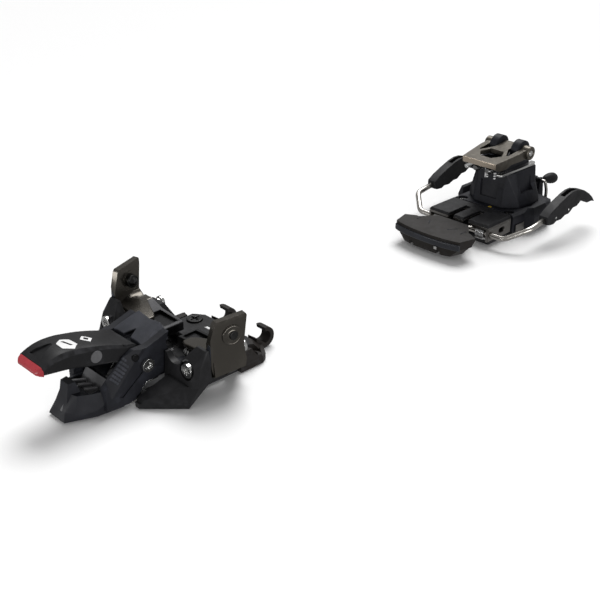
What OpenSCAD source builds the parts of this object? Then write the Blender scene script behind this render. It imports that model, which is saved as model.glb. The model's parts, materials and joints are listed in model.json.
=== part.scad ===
/* [Frame] */
// Distance from the toe pins to the turning post of the heel
heel_y = 308; // [296:1:330]
// Thickness of the toe base plate
floor_t = 3; // [2.5:0.1:3.4]
// Radius of the ski screw holes
hole_r = 2.8; // [2.5:0.05:3]

/* [Toe screw pattern] */
// Distance between the screws across the ski
toe_hole_dx = 53; // [51:0.5:54]
// Distance between the screws along the ski
toe_hole_dy = 63; // [62:0.5:64]

/* [Wings] */
// Height of the boot pins above the ski
pin_h = 37.3; // [36:0.1:39]
// Half distance between the pin tips with the wings open
pin_half = 37.4; // [36:0.1:40]
// Half distance between the wing axles
wing_axle_x = 36.2; // [36:0.1:37]
// Height of the wing axles
wing_axle_z = 20.5; // [20:0.1:21]
// Radius of a wing axle
wing_axle_r = 2.5; // [2:0.1:2.8]
// Turn of the wing plates towards the front
wing_toe_in = 13; // [8:1:15]

/* [Opening lever] */
// Distance of its axle in front of the pins
lever_axle_y = 34; // [33:0.5:35]
// Height of its axle
lever_axle_z = 21; // [20.5:0.1:21.5]
// Half width over its arms
lever_half_w = 17; // [16.5:0.1:17.4]
// Half width between its arms
lever_gap = 12.3; // [12.2:0.1:12.5]

/* [Lock lever] */
// Distance of its axle in front of the pins
lock_axle_y = 40; // [39.5:0.5:41]
// Height of its axle
lock_axle_z = 27; // [26.5:0.5:27.5]
// Half width of the lever
lock_half_w = 11.9; // [11:0.1:11.9]

/* [Heel screw pattern] */
// Distance between the screws across the ski
heel_hole_dx = 34; // [30:1:36]
// Distance between the screws along the ski
heel_hole_dy = 60; // [56:1:64]

/* [Brake] */
// Distance of the brake pivot in front of the turning post
brake_dy = 52; // [51:0.5:53]
// Height of the brake pivot
brake_z = 9; // [8.8:0.1:9.2]
// Radius of the brake wire
wire_r = 2; // [1.8:0.1:2.2]
// Half distance between the brake arms
arm_x = 50; // [46:1:58]

/* [Heel tower] */
// Height of the heel pins
heel_pin_z = 46; // [45.9:0.05:46.1]
// Half distance between the heel pins
heel_pin_x = 5.2; // [5:0.1:5.4]
// Height of the climbing aid axle
aid_axle_z = 54.5; // [54:0.1:55]
// Slope of the climbing aid
aid_slope = 6; // [5:0.5:8]

/* [Hidden] */
$fn = 40;
run = 0.05;
elbow = 0.08;
gap = 0.35;
bracket_y = heel_y - 55.4;
brake_y = heel_y - brake_dy;
deck_z = 16.5;
aid_axle_y = heel_y + 1;
post_r = 8;
rear_y = heel_y + 32;
rear_z = 24;
wire_in = 6.5;
release_z = 44.9;

// ---- helpers ----
// The shape and its mirror image across the middle of the ski
module both() {
    children();
    mirror([1, 0, 0]) children();
}

// Outline seen from above, t thick, standing at height z
module slab(pts, z, t = 0.5) translate([0, 0, z]) linear_extrude(t) polygon(pts);

// Outline in (y, z) seen from the side, from x0 to x1
module profile(pts, x0, x1)
    translate([x0, 0, 0]) rotate([90, 0, 90]) linear_extrude(x1 - x0) polygon(pts);

// Outline in (x, z) seen from the front, from y0 to y1
module section(pts, y0, y1)
    translate([0, y1, 0]) rotate([90, 0, 0]) linear_extrude(y1 - y0) polygon(pts);

// Round bars along X and along Y
module xbar(r, x0, x1, y, z) translate([x0, y, z]) rotate([0, 90, 0]) cylinder(r = r, h = x1 - x0);
module ybar(r, y0, y1, x, z) translate([x, y0, z]) rotate([-90, 0, 0]) cylinder(r = r, h = y1 - y0);

// Box from corner a to corner b
module block(a, b) translate(a) cube(b - a);

// Straight rod from a to b with a round elbow at a
module rod(a, b, r) {
    v = b - a;
    translate(a) rotate([0, acos(v.z / norm(v)), atan2(v.y, v.x)]) cylinder(r = r, h = norm(v));
    translate(a) sphere(r = r + elbow);
}

// Outline mirrored across the middle, from its right half
function whole(half) = concat(half, [for (i = [len(half) - 1:-1:0]) [-half[i].x, half[i].y]]);

// Six-lobed recess of a chrome screw, cut into a face at z = 0
module lobes(r, depth) translate([0, 0, -depth]) linear_extrude(depth + 1) {
    circle(r = r * 0.7);
    for (i = [0:5]) rotate(60 * i) translate([r * 0.7, 0]) circle(r = r * 0.3);
}

// Round screw head on +Z with a six-lobed recess
module lobed_head(r, h) difference() {
    cylinder(r = r, h = h);
    translate([0, 0, h]) lobes(r * 0.6, h * 0.6);
}

// Closed coil spring along Z: wire radius w, coil radius r, height h
module coil(r, w, h, turns, steps = 14, sides = 6) {
    n = turns * steps;
    pts = [for (i = [0:n]) for (j = [0:sides - 1])
        let (a = 360 * i / steps, b = 360 * j / sides, d = r + w * cos(b))
        [d * cos(a), d * sin(a), w + (h - 2 * w) * i / n + w * sin(b)]];
    faces = concat([[for (j = [sides - 1:-1:0]) j]],
        [for (i = [0:n - 1]) for (j = [0:sides - 1])
            let (k = (j + 1) % sides)
            [i * sides + j, i * sides + k, (i + 1) * sides + k, (i + 1) * sides + j]],
        [[for (j = [0:sides - 1]) n * sides + j]]);
    polyhedron(pts, faces);
}

// Places children at the four corners of a screw pattern centred at y
module pattern(dx, dy, y)
    for (i = [-1, 1]) for (j = [-1, 1]) translate([i * dx / 2, y + j * dy / 2, 0]) children();

// ---- toe base ----
// Low skirt beside the opening lever, rising to the wing tower
module toe_skirt() hull() {
    slab([[18.2, -43.8], [21.7, -43.8], [39.7, -25.3], [28.4, -8.9], [18.2, -8.9]], 0, 0.8);
    slab([[18.2, -42], [23.5, -42], [34, -30], [30, -22], [18.2, -30]], 4.5);
    slab([[22, -26], [38, -26], [42.8, -20], [43, -12.9], [22, -12.9]], 12.5);
}

// Tower in front of the wing that carries the front end of its axle
module wing_tower() hull() {
    slab([[29, -23.5], [42, -24.5], [44.6, -22], [44.4, -12.9], [29, -12.9]], 13);
    slab([[30, -21.5], [41, -21.6], [43.6, -19.6], [43.8, -12.9], [30, -12.9]], 23);
    slab([[35, -14.6], [42.4, -14.8], [43.2, -12.9], [35, -12.9]], 30.8);
}

// Wall in front of the closing spring, dished along its top
module spring_wall() difference() {
    profile([[-25, 1], [-22.8, 25.2], [-19.4, 25.2], [-19.4, 1]], 18.4, 35);
    ybar(7, -40, 0, 26.2, 28);
}

// Cheek behind the wing that carries the rear end of its axle
module rear_cheek() hull() {
    slab([[26, 9.2], [28.9, 9.2], [28.9, 17.4], [26, 17.4]], 1);
    slab([[26, 9.2], [42, 9.2], [41, 14], [31, 17.4], [26, 17.4]], 14);
    slab([[29, 9.2], [42, 9.2], [39, 12.6], [29, 12.6]], 22.6);
}

module toe_base() color("#1b1c20") difference() {
    union() {
        linear_extrude(floor_t) polygon(whole([[18.2, -38.5], [18.2, -43.8], [21.7, -43.8],
            [39.7, -25.3], [28.4, -8.9], [28.9, 17.5]]));
        both() toe_skirt();
        both() spring_wall();
        both() wing_tower();
        both() rear_cheek();
        profile([[-38.2, 0], [-38, 19], [-34, 24.4], [-30, 19], [-29.4, 0]], -8, 8);
        xbar(3.6, -8, 8, -lever_axle_y, lever_axle_z);
    }
    // Slots and opening for the lever fingers and the wing arms
    both() block([11.8, -33, -1], [18, 8.5, 40]);
    both() block([17.5, -50, floor_t], [18.3, -12, 40]);
    block([-24, -11.5, 2.2], [24, 8.8, 30]);
    // Recessed panel in each skirt
    both() translate([39.3, -33.2, 4.2]) rotate([0, -16, -44]) cube([1.6, 15, 4.6], center = true);
    // Flat seat of each axle head and each nut
    both() ybar(5.2, -30, -21.2, wing_axle_x, wing_axle_z);
    both() ybar(4.2, 14.3, 30, wing_axle_x, wing_axle_z);
    both() ybar(wing_axle_r + run, -30, 30, wing_axle_x, wing_axle_z);
    xbar(2.4, -20, 20, -lever_axle_y, lever_axle_z);
    // Blind screw holes, open below
    both() translate([toe_hole_dx / 2, -toe_hole_dy / 2, -1]) cylinder(r = hole_r, h = 7);
}

// Plate behind the wings with the two open hooks for ski crampons
module toe_rear_plate() color("#2a2522") difference() {
    union() {
        linear_extrude(4) polygon(whole([[31.8, 17.8], [31.9, 34.2], [29.7, 38], [20.4, 44], [12.6, 44],
            [12.6, 40]]));
        hull() {
            slab(whole([[31.8, 18.6], [31.8, 34], [20.4, 42], [12.6, 42]]), 3.5);
            slab(whole([[26, 18.6], [26, 33], [18, 38]]), 7.5);
        }
        both() hull() {
            slab([[26, 18.2], [31.8, 18.2], [31.8, 34], [26, 38]], 3.5);
            slab([[26, 18.2], [30.6, 18.2], [30.2, 26], [28, 32], [26, 34]], 10.6);
        }
        both() crampon_hook();
    }
    pattern(toe_hole_dx, toe_hole_dy, 0) translate([0, 0, -1]) cylinder(r = hole_r, h = 20);
    pattern(toe_hole_dx, toe_hole_dy, 0) translate([0, 0, 4.4]) cylinder(r = 4.9, h = 20);
    both() translate([18.6, 26.1, 3]) cylinder(r = 1.9, h = 10);
    block([-12.5, 39.5, -1], [12.5, 60, 20]);
}

// C-shaped hook, open to the front
module crampon_hook() {
    profile([[40, 0], [46.5, 0], [46.5, 3], [43.5, 5.4], [40, 8]], 12.6, 20.2);
    difference() {
        xbar(6.4, 12.6, 20.2, 47, 6.4);
        xbar(3.7, 12, 21, 47, 6.7);
        profile([[47, 3], [40, 3], [38, 9], [42, 14], [46.2, 14], [47.2, 9.5]], 12, 21);
    }
}

module toe_cover() color("#202023") difference() {
    linear_extrude(11) polygon(whole([[21, 10], [25.4, 13], [25.4, 30], [19, 34.5], [8, 34.5]]));
    translate([0, 0, -1]) linear_extrude(9.2) square([80, 90], center = true);
    both() translate([18.6, 26.1, 0]) cylinder(r = 2.2, h = 20);
    both() translate([18.6, 26.1, 10]) cylinder(r = 4.8, h = 2);
}

// Two cross-head screws that hold the cover
module toe_cover_screws() color("#101113") both() translate([18.6, 26.1, 0]) difference() {
    union() {
        translate([0, 0, 3.2]) cylinder(r = 1.9, h = 7);
        translate([0, 0, 10]) cylinder(r = 4.7, h = 2.1);
    }
    translate([0, 0, 12]) cube([6, 1.3, 2.6], center = true);
    translate([0, 0, 12]) cube([1.3, 6, 2.6], center = true);
}

// ---- wings ----
module wing_axles() color("#c9ccd0") both() difference() {
    union() {
        ybar(wing_axle_r, -22, 14.4, wing_axle_x, wing_axle_z);
        translate([wing_axle_x, -21.2, wing_axle_z]) rotate([90, 0, 0]) lobed_head(4, 2);
        ybar(3.4, 14.4, 16.2, wing_axle_x, wing_axle_z);
    }
}

// Right wing: outer plate turned in towards the front, foot and hinge barrel
module wing() color("#57534e") difference() {
    union() {
        intersection() {
            translate([45, 0, 0]) rotate(-wing_toe_in)
                profile([[-11, 14.5], [-13.2, 24], [-13.6, 33], [-9.8, 45.4], [-8.6, 46.6], [8.2, 48],
                    [9, 46.8], [7.8, 38], [6.8, 29.5], [8.4, 21], [7.6, 16.5]], -1.8, 1.8);
            block([30, -12.5, 0], [60, 8.8, 60]);
        }
        section([[36.2, 25.6], [40.5, 26], [44.6, 24], [45.4, 15.6], [41, 13.6], [36.2, 15.4]], -11.4, 8.4);
        ybar(5.2, -12.5, 8.8, wing_axle_x, wing_axle_z);
        // Round pad behind the boot pin
        translate([45.2, 0, pin_h]) rotate([0, 90, -wing_toe_in]) cylinder(r = 5.6, h = 4.6, center = true);
    }
    ybar(wing_axle_r + run, -20, 20, wing_axle_x, wing_axle_z);
    // Bore of the boot pin and seat of its collar
    xbar(2.6 + run, 38, 60, 0, pin_h);
    xbar(3.9 + run, 38, 43.2, 0, pin_h);
}

// Arm from the hinge barrel of the right wing to the middle of the base
module wing_arm() color("#1a1a1c") difference() {
    section([[5.5, 16.4], [5.5, 21.4], [7, 22.2], [24, 23], [31, 25.4], [36, 26.8], [34, 14.6], [30, 15],
        [26, 15.9], [7, 15.8]], -5, 8.2);
    ybar(5.25, -20, 20, wing_axle_x, wing_axle_z);
    block([34, -20, 0], [60, 20, 60]);
    block([8, -3, 20.6], [24, 6, 30]);
}

// Boot pin of the right wing with its black collar
module toe_pin() color("#2c2c2e") {
    xbar(2.6, pin_half + 4.5, 48.4, 0, pin_h);
    xbar(3.9, pin_half + 2.4, 43.2, 0, pin_h);
    translate([pin_half, 0, pin_h]) rotate([0, 90, 0]) cylinder(r1 = 1.2, r2 = 2.8, h = 2.4);
}

// Closing spring beside the arm of the right wing
module toe_spring() color("#a9acb0") {
    translate([18.4, -8.7, 18.6]) rotate([0, 90, 0]) coil(2.6, 0.6, 8.4, 4);
    xbar(3.2, 26.6, 28.2, -8.7, 18.6);
    xbar(1.6, 18.4, 28.2, -8.7, 18.6);
    xbar(2.4, 17.8, 18.6, -8.7, 18.6);
}

module wing_left() mirror([1, 0, 0]) wing();
module wing_right() wing();
module wing_arm_left() mirror([1, 0, 0]) wing_arm();
module wing_arm_right() wing_arm();
module toe_pin_left() mirror([1, 0, 0]) toe_pin();
module toe_pin_right() toe_pin();
module toe_spring_left() mirror([1, 0, 0]) toe_spring();
module toe_spring_right() toe_spring();

// ---- opening lever ----
// Arm beside the lock lever, with the finger under the wing arm
module lever_arm() profile([[-60, 3], [-46, 2.4], [-41.5, 3.8], [-35, 10.6], [-29, 11], [3, 11.6],
    [3.5, 13], [-19, 13.8], [-18.8, 22], [-20.8, 29], [-18.6, 35], [-24, 33.2], [-33, 30.6],
    [-40, 31], [-45, 28.6], [-57, 18.6], [-60, 15.8]], lever_gap, lever_half_w);

module opening_lever() color("#1d1e22") difference() {
    union() {
        both() lever_arm();
        // Front of the lever, from the arms to the lip
        hull() {
            slab(whole([[7.1, -79.7], [13.6, -64], [15.6, -49]]), 1);
            slab(whole([[4.4, -77.4], [9.6, -74], [14.2, -64], [16.4, -49]]), 4.6);
        }
        hull() {
            slab(whole([[4.4, -77.4], [9.6, -74], [14.2, -64], [16.4, -49]]), 4.6);
            slab(whole([[3.4, -72.4], [7.4, -71], [10.9, -65], [13.4, -57], [lever_half_w, -49]]), 13);
        }
        // Raised tooth that a pole tip or a thumb pushes on
        hull() {
            slab(whole([[3.8, -75.4], [5.6, -65.5]]), 7);
            slab(whole([[3.4, -73], [4.2, -69]]), 19.2);
        }
        // Two-peaked bridge behind the lock lever
        both() hull() {
            section([[0, 27.5], [0, 31], [9, 31], [12.6, 30], [14.4, 27.5]], -33, -32.5);
            section([[0, 29], [0, 34.2], [9.1, 36.8], [13, 34], [15.4, 29]], -18.8, -18.3);
        }
    }
    // Pocket for a pole tip
    block([-10.4, -65.4, 9.6], [10.4, -53.4, 30]);
    block([-8, -65.4, 12.5], [8, -49, 30]);
    // Room for the lock lever between the arms
    block([-lever_gap, -50.5, 13], [lever_gap, -33.4, 60]);
    block([-lever_gap, -47, -1], [lever_gap, -33.4, 60]);
    block([-9, -45, -1], [9, -28, 27]);
    // Long groove in the side of each arm
    both() profile([[-52, 8.4], [-50, 7.4], [-36.6, 17.4], [-37.6, 19]], lever_half_w - 0.7, 20);
    // V between the two peaks
    section([[-5.4, 40], [0, 32.6], [5.4, 40]], -34, -17);
    xbar(2.4 + run, -20, 20, -lever_axle_y, lever_axle_z);
    xbar(2, -20, 20, -lock_axle_y, lock_axle_z);
}

// Axle with a chrome head on each side
module opening_lever_axle() color("#c9ccd0") {
    xbar(2.4, -17.3, 17.3, -lever_axle_y, lever_axle_z);
    both() translate([17.3, -lever_axle_y, lever_axle_z]) rotate([0, 90, 0]) lobed_head(3.7, 1.9);
}

// Thin steel plates under the arms, bright along their lower edges
module lever_side_plates() color("#b9bcc0") both()
    profile([[-46, 1.4], [-41.2, 2.8], [-34.8, 9.6], [-27, 9.8], [-27, 11], [-29, 11], [-35, 10.6],
        [-41.5, 3.8], [-46, 2.4]], lever_gap + 0.6, lever_half_w - 0.2);

// Ribbed insert at the bottom of the pole pocket
module pocket_insert() color("#3a3b3f") difference() {
    union() {
        profile([[-65.2, 9.7], [-65.2, 11], [-57.5, 11], [-53.6, 16.6], [-53.6, 9.7]], -10.2, 10.2);
        for (i = [-1:1]) translate([i * 5.6 - 1, -60.8, 9.8]) rotate(-32)
            block([-0.7, -3.6, 0], [0.7, 3.6, 3.4]);
    }
}

// ---- lock lever ----
// Section of the lock lever: half width w, bottom b, top t, chamfer c
module lock_slice(y, w, b, t, c)
    section([[-w, b], [-w, t - c], [-w + 1.3 * c, t], [w - 1.3 * c, t], [w, t - c], [w, b]], y - 0.2, y + 0.2);

module lock_lever() color("#18181a") difference() {
    union() {
        hull() {
            lock_slice(-88.8, 11.2, 34.4, 39.2, 1.6);
            lock_slice(-78, 11.4, 32.4, 43.2, 3.4);
        }
        hull() {
            lock_slice(-78, 11.4, 32.4, 43.2, 3.4);
            lock_slice(-65, 11.6, 29.6, 41.4, 3);
        }
        hull() {
            lock_slice(-65, 11.6, 29.6, 41.4, 3);
            lock_slice(-51, lock_half_w, 26.6, 37.4, 2.4);
        }
        hull() {
            lock_slice(-51, lock_half_w, 26.6, 37.4, 2.4);
            lock_slice(-41, lock_half_w, 22, 33.6, 2);
        }
        xbar(5.6, -lock_half_w, lock_half_w, -lock_axle_y, lock_axle_z);
        profile([[-41.5, 28], [-34.8, 29.6], [-37, 32.4], [-41.5, 33.6]], -lock_half_w + 0.6, lock_half_w - 0.6);
    }
    block([-8.6, -47, 10], [8.6, -30, 31.2]);
    // Triangular recess in the top near the tip
    translate([0, -84.6, 40.6]) rotate([19, 0, 0]) linear_extrude(3) polygon([[-5.4, -2.2], [5.4, -2.2], [0, 8]]);
    xbar(2 + run, -20, 20, -lock_axle_y, lock_axle_z);
    xbar(3.3, -20, 20, -59.9, 34);
}

module lock_lever_axle() color("#8e9094") xbar(2, -16.8, 16.8, -lock_axle_y, lock_axle_z);

// Grey cross pin whose ends show on the sides of the lock lever
module lock_lever_pin() color("#85868a") xbar(3.3, -lock_half_w - 0.3, lock_half_w + 0.3, -59.9, 34);

// Coloured end piece on the tip
module lock_lever_band() color("#b3272d") hull() {
    lock_slice(-92, 8.2, 35.2, 36.6, 0.5);
    lock_slice(-90.6, 10.2, 34.8, 38, 1);
    lock_slice(-89.25, 11.1, 34.5, 39, 1.5);
}

// ---- heel track and brake ----
module heel_track() color("#26272a") difference() {
    union() {
        linear_extrude(4) polygon([for (p = whole([[23.6, -50], [23.6, 20], [20, 35]])) p + [0, heel_y]]);
        // Lug that holds the adjusting screw
        block([-5.2, heel_y + 30.5, 3], [5.2, heel_y + 35, 11.6]);
    }
    pattern(heel_hole_dx, heel_hole_dy, heel_y) translate([0, 0, -1]) cylinder(r = hole_r, h = 20);
    block([-9, heel_y - 20, 2.6], [9, heel_y + 10, 9]);
    ybar(3 + run, heel_y, heel_y + 50, 0, 8);
}

// Steel channel, open to the front, that carries the brake pivots
module brake_bracket() color("#6b6965") difference() {
    section([[-26.1, 4.1], [-26.1, 13.8], [-25.3, 14.6], [25.3, 14.6], [26.1, 13.8], [26.1, 4.1],
        [24.6, 4.1], [24.6, 13.1], [-24.6, 13.1], [-24.6, 4.1]], bracket_y, bracket_y + 28);
    both() block([wire_in - 2.4, bracket_y - 1, 12], [wire_in + 2.4, bracket_y + 21, 20]);
    xbar(wire_r + run, -30, 30, brake_y, brake_z);
    both() hull() for (d = [0, 3.4]) xbar(1.9, 20, 30, bracket_y + 15 + d, 9.2);
}

module brake_cover() color("#1f2022") difference() {
    hull() {
        slab(whole([[26.1, bracket_y], [26.1, bracket_y + 28]]), 14.6);
        slab(whole([[25.2, bracket_y + 0.8], [25.2, bracket_y + 28]]), 16.1);
    }
    both() block([wire_in - 2.4, bracket_y - 1, 12], [wire_in + 2.4, bracket_y + 21, 20]);
}

// Wide foot pedal in front of the bracket
module brake_pedal() color("#232325") difference() {
    union() {
        hull() {
            slab(concat([for (a = [-50:10:50]) [28 * sin(a) / sin(50), heel_y - 90 - 4 * (cos(a) - cos(50))
                / (1 - cos(50))]], [[31.2, heel_y - 77], [24, heel_y - 73], [-24, heel_y - 73],
                [-31.2, heel_y - 77]]), 13.8, 1.6);
            slab(whole([[16, heel_y - 93.4], [27.4, heel_y - 89.6], [30, heel_y - 79], [27, heel_y - 75]]), 9);
        }
        hull() {
            slab(whole([[16, heel_y - 93.4], [27, heel_y - 89.4], [29, heel_y - 79], [26, heel_y - 76]]), 9);
            slab(whole([[12, heel_y - 92.4], [20.4, heel_y - 90], [23.5, heel_y - 80], [21, heel_y - 76]]), 2.4);
        }
        hull() {
            slab(whole([[24.4, heel_y - 75], [15.5, heel_y - 67], [13, heel_y - 60.6]]), 11.4, 3.6);
            slab(whole([[22, heel_y - 77], [13, heel_y - 68], [12, heel_y - 60.6]]), 6);
        }
    }
    both() block([10, heel_y - 100, 0], [13.4, heel_y - 82, 5.4]);
    both() ybar(wire_r, heel_y - 80, heel_y - 50, wire_in, brake_z);
}

// Right brake wire: into the pedal, through the bracket, then out and back to the arm
module brake_wire() color("#c8c2b8") {
    inner = [wire_in, brake_y, brake_z];
    low = [35.4, brake_y, brake_z];
    high = [arm_x, heel_y - 39.8, 16.5];
    rod(inner, [wire_in, heel_y - 79.5, brake_z], wire_r);
    xbar(wire_r, wire_in, 35.4, brake_y, brake_z);
    rod(low, high, wire_r);
    rod(high, [arm_x, heel_y - 8, 21], wire_r);
}

// Right plastic end of the brake arm
module brake_arm() color("#1e1f20") difference() {
    profile([for (p = [[-24, 16.4], [-24, 22], [-18.6, 25.2], [-9, 29], [0, 32], [6, 33.2], [12, 33],
        [22, 30.2], [29.4, 25.8], [35, 21.4], [38.4, 17.4], [34, 18.8], [28, 19], [24, 22.6], [19.4, 23.4],
        [14, 20.4], [9, 20.4], [4, 17.4], [-1, 17.4], [-6, 15.6], [-12, 16], [-15, 14.6], [-21, 15.2]])
        p + [heel_y, 0]], arm_x - 3.4, arm_x + 3.4);
    rod([arm_x, heel_y - 39.8, 16.5], [arm_x, heel_y - 8, 21], wire_r);
    block([arm_x - 1.8, heel_y - 2, 28.6], [arm_x + 1.8, heel_y + 16, 40]);
}

module brake_arm_rivets() color("#a7a9ac") both() for (p = [[-13, 18.8], [3, 20.6]])
    xbar(0.9, arm_x + 3.4, arm_x + 3.8, heel_y + p.x, p.y);

// Torsion springs around the brake pivots
module brake_springs() color("#b4b6b9") both() translate([14.5, brake_y, brake_z]) rotate([0, 90, 0])
    coil(3.35, 0.45, 8, 6);

module brake_wire_left() mirror([1, 0, 0]) brake_wire();
module brake_wire_right() brake_wire();
module brake_arm_left() mirror([1, 0, 0]) brake_arm();
module brake_arm_right() brake_arm();

// ---- heel carriage ----
module carriage_outline(half, z, t = 0.5) slab([for (p = whole(half)) p + [0, heel_y]], z, t);

module heel_carriage() color("#1c1d21") difference() {
    union() {
        hull() {
            carriage_outline([[27.4, -26.6], [28, -14], [28, 24], [20, 38]], 0.5);
            carriage_outline([[27, -26.4], [27.6, -14], [27, 23], [18, 37]], 9);
            carriage_outline([[27, -26.4], [27.6, -14], [27, 20], [18, 26]], 14.5);
            carriage_outline([[24.5, -25.6], [25, -14], [24, 18], [16, 24]], deck_z - 0.5);
        }
        // Shoulders beside the tower
        both() hull() {
            slab([[27, heel_y - 12], [33, heel_y - 9], [33.5, heel_y + 12], [27, heel_y + 20]], 2.5);
            slab([[27, heel_y - 14], [34.5, heel_y - 10], [34.5, heel_y + 8], [27, heel_y + 16]], 12);
            slab([[29.2, heel_y - 12], [32.4, heel_y - 9], [32.4, heel_y + 6], [29.2, heel_y + 10]], 18.6);
        }
        // Ears of the rear lever
        for (x = [4.6, 9.4]) profile([[rear_y - 3.6, 8], [rear_y - 2, rear_z + 2], [rear_y + 2, rear_z + 2],
            [rear_y + 4.4, 8]], x, x + 2);
    }
    // Channel for the track and its lug
    block([-24, heel_y - 40, -1], [24, heel_y + 50, 4.3]);
    block([-5.6, heel_y + 10, 2], [5.6, heel_y + 50, 12.7]);
    ybar(3 + run, heel_y - 12, heel_y + 20, 0, 8);
    // Recesses of the front screws
    both() translate([20.4, heel_y - 22.6, 13]) cylinder(r = 3.6, h = 10);
    both() translate([20.4, heel_y - 22.6, 4]) cylinder(r = 1.8, h = 10);
    translate([4.8, heel_y - 24, 13]) cylinder(r = 1.5, h = 10);
    translate([0, heel_y, 12.6]) cylinder(r = post_r, h = 10);
    // Notch for the rear lever between its ears
    block([6.6, rear_y - 4, rear_z - 2.6], [9.4, heel_y + 50, 30]);
    xbar(1.2 + run, 0, 20, rear_y, rear_z);
    translate([14.6, rear_y + 3, 5.8]) cylinder(r = 1.2 + run, h = 10);
}

// Screws that close the front of the carriage
module carriage_screws() color("#b7babd") both() translate([20.4, heel_y - 22.6, 0]) difference() {
    union() {
        translate([0, 0, 4.6]) cylinder(r = 1.8, h = 9);
        translate([0, 0, 13]) cylinder(r = 3, h = 1.9);
    }
    translate([0, 0, 14.9]) cube([4, 0.9, 1.8], center = true);
}

module index_dot() color("#c9a227") translate([4.8, heel_y - 24, 13]) cylinder(r = 1.5, h = 3.5);

// Steel post about which the tower turns
module turn_post() color("#9a9c9f") translate([0, heel_y, 12.6]) cylinder(r = post_r, h = 20);

module adjusting_screw() color("#a9abae") difference() {
    union() {
        ybar(3, heel_y + 4, heel_y + 35.4, 0, 8);
        ybar(4.4, heel_y + 35.4, heel_y + 38.4, 0, 8);
    }
    translate([0, heel_y + 38.4, 8]) rotate([-90, 0, 0]) lobes(2.8, 1.8);
}

// ---- heel tower ----
module tower_outline(half, z, t = 0.5) slab([for (p = whole(half)) p + [0, heel_y]], z, t);

module heel_tower() color("#1b1c21") difference() {
    union() {
        hull() {
            tower_outline([[11, -20.6], [18.4, -11], [19.6, 10], [14, 20]], deck_z + gap);
            tower_outline([[11, -20.6], [18.4, -11], [19.6, 10], [14, 20]], 20);
            tower_outline([[12.6, -18], [15.6, -11], [16.6, 12.6], [14.6, 14.4]], 41.8);
        }
        // Flared foot
        hull() {
            tower_outline([[12, -21], [22, -12.6], [24.5, 0], [22.6, 12], [15.5, 20.4]], deck_z + gap, 2);
            tower_outline([[11.4, -19.8], [17.3, -11], [18.3, 10.8], [14.2, 17.6]], 30);
        }
        // Head between the rails of the climbing aid
        block([-12.1, heel_y - 19.4, 42], [12.1, heel_y + 10, 50.2]);
        // Lugs of the climbing aid axle
        both() hull() {
            xbar(8, 6.2, 12.1, aid_axle_y, aid_axle_z);
            block([6.2, heel_y - 8, 46], [12.1, heel_y + 9, 47]);
        }
    }
    // Recessed panel in the front face
    hull() {
        block([-7, heel_y - 30, 22], [7, heel_y - 19.4, 23]);
        block([-8.6, heel_y - 30, 33], [8.6, heel_y - 17.6, 34]);
    }
    translate([0, heel_y, 0]) cylinder(r = post_r + run, h = 33);
    // Slot of the heel pins
    block([-9.6, heel_y - 40, heel_pin_z - 3.3], [9.6, heel_y - 11.2, 60]);
    // Room under the middle of the climbing aid
    block([-6.1, heel_y - 12, 48.6], [6.1, heel_y + 30, 70]);
    both() translate([heel_pin_x, heel_y - 14.5, 40]) cylinder(r = 1.5, h = 8);
    ybar(3.6, heel_y - 10, heel_y + 7, 0, release_z);
    ybar(2.5, heel_y, heel_y + 30, 0, release_z);
    xbar(2.2, -20, 20, aid_axle_y, aid_axle_z);
    // Side pockets
    both() hull() {
        block([17.4, heel_y - 8, 26], [30, heel_y + 6, 28]);
        block([17, heel_y - 4, 36], [30, heel_y + 6, 37]);
    }
}

// Steel rails on both shoulders of the tower, under the climbing aid
module tower_rails() color("#c0bfbb") difference() {
    tower_outline([[14.6, -31.4], [16.6, -29.6], [17.2, 8], [15.6, 13]], 43.4, 1.6);
    block([-12.3, heel_y - 40, 40], [12.3, heel_y + 30, 50]);
}

// Right heel pin: ribbed shank, tapered tip and the eye it turns on
module heel_pin() color("#c4c6c8") difference() {
    union() {
        ybar(2.75, heel_y - 30.4, heel_y - 14.5, heel_pin_x, heel_pin_z);
        translate([heel_pin_x, heel_y - 30.4, heel_pin_z]) rotate([90, 0, 0]) cylinder(r1 = 2.75, r2 = 1.7, h = 2.4);
        translate([heel_pin_x, heel_y - 14.5, heel_pin_z - 2.9]) cylinder(r = 3.1, h = 5.8);
    }
    for (i = [0:2]) translate([heel_pin_x, heel_y - 28.6 + 2.6 * i, heel_pin_z]) rotate([-90, 0, 0]) difference() {
        cylinder(r = 4, h = 1);
        translate([0, 0, -1]) cylinder(r = 2.25, h = 3);
    }
    translate([heel_pin_x, heel_y - 14.5, 40]) cylinder(r = 1.5 + run, h = 20);
}

module heel_pin_left() mirror([1, 0, 0]) heel_pin();
module heel_pin_right() heel_pin();

module heel_pin_pivots() color("#8f9194") both() {
    translate([heel_pin_x, heel_y - 14.5, 41]) cylinder(r = 1.5, h = 9.4);
}

// Spring behind the heel pins and the screw that sets it
module release_spring() color("#a9acb0") translate([0, heel_y - 9, release_z]) rotate([-90, 0, 0])
    coil(2.8, 0.6, 13, 5);

module release_screw() color("#a9abae") difference() {
    ybar(2.45, heel_y + 5, heel_y + 15.6, 0, release_z);
    translate([0, heel_y + 15.6, release_z]) cube([1, 2, 4], center = true);
}

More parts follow.
